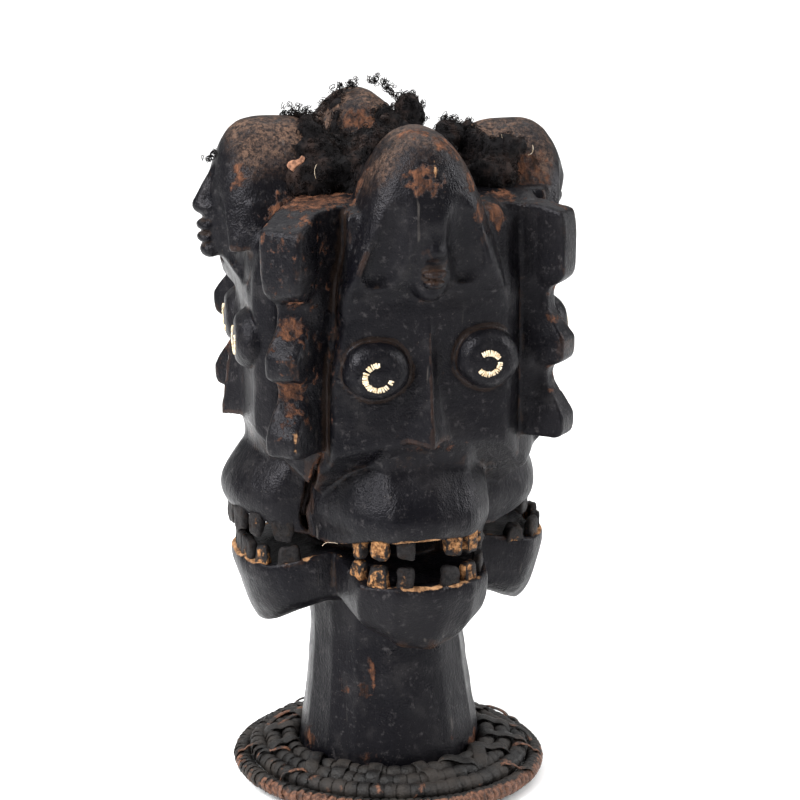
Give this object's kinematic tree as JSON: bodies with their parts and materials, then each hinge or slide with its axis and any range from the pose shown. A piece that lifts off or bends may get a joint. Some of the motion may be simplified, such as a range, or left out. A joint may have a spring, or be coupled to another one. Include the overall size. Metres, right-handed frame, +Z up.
{
  "type": "crest mask",
  "caption": "Tall carved crest mask with stylised faces looking out on every side, toothed open jaws, frizzy hair on top, a round neck and a coiled basketry foot.",
  "frame": {"origin": "centre of the underside, on the plane the crest stands on", "axes": "+Z up along the neck; one big face looks along -Y, the others along +X, +Y and -X"},
  "size_m": [0.244, 0.237, 0.4484],
  "materials": {
    "skin": "near-black skin stretched over carved wood, satin, worn to rust brown on edges",
    "tooth": "ochre to charcoal wooden pegs, matt and worn",
    "inlay": "pale cream splints, matt",
    "hair": "black frizzy hair",
    "cane": "dark wrapped coils, copper brown where rubbed"
  },
  "bodies": {
    "root": {"tooth_front_upper_1": "tooth", "tooth_front_upper_2": "tooth", "tooth_front_upper_3": "tooth", "tooth_front_upper_5": "tooth", "tooth_front_upper_6": "tooth", "tooth_front_upper_7": "tooth", "tooth_front_lower_1": "tooth", "tooth_front_lower_2": "tooth", "tooth_front_lower_3": "tooth", "tooth_front_lower_5": "tooth", "tooth_front_lower_6": "tooth", "tooth_front_lower_7": "tooth", "eye_inlay_front_1": "inlay", "eye_inlay_front_2": "inlay", "tooth_right_upper_2": "tooth", "tooth_right_upper_3": "tooth", "tooth_right_upper_4": "tooth", "tooth_right_upper_5": "tooth", "tooth_right_upper_6": "tooth", "tooth_right_upper_7": "tooth", "tooth_right_lower_1": "tooth", "tooth_right_lower_2": "tooth", "tooth_right_lower_3": "tooth", "tooth_right_lower_4": "tooth", "tooth_right_lower_6": "tooth", "tooth_right_lower_7": "tooth", "eye_inlay_right_1": "inlay", "eye_inlay_right_2": "inlay", "tooth_back_upper_1": "tooth", "tooth_back_upper_2": "tooth", "tooth_back_upper_3": "tooth", "tooth_back_upper_4": "tooth", "tooth_back_upper_6": "tooth", "tooth_back_upper_7": "tooth", "tooth_back_lower_1": "tooth", "tooth_back_lower_3": "tooth", "tooth_back_lower_4": "tooth", "tooth_back_lower_5": "tooth", "tooth_back_lower_6": "tooth", "tooth_back_lower_7": "tooth", "eye_inlay_back_1": "inlay", "eye_inlay_back_2": "inlay", "tooth_left_upper_1": "tooth", "tooth_left_upper_3": "tooth", "tooth_left_upper_4": "tooth", "tooth_left_upper_5": "tooth", "tooth_left_upper_6": "tooth", "tooth_left_upper_7": "tooth", "tooth_left_lower_2": "tooth", "tooth_left_lower_3": "tooth", "tooth_left_lower_4": "tooth", "tooth_left_lower_5": "tooth", "tooth_left_lower_6": "tooth", "tooth_left_lower_7": "tooth", "eye_inlay_left_1": "inlay", "eye_inlay_left_2": "inlay", "crest_carving": "skin", "basket_foot": "cane", "hair": "hair"}
  },
  "joints": []
}
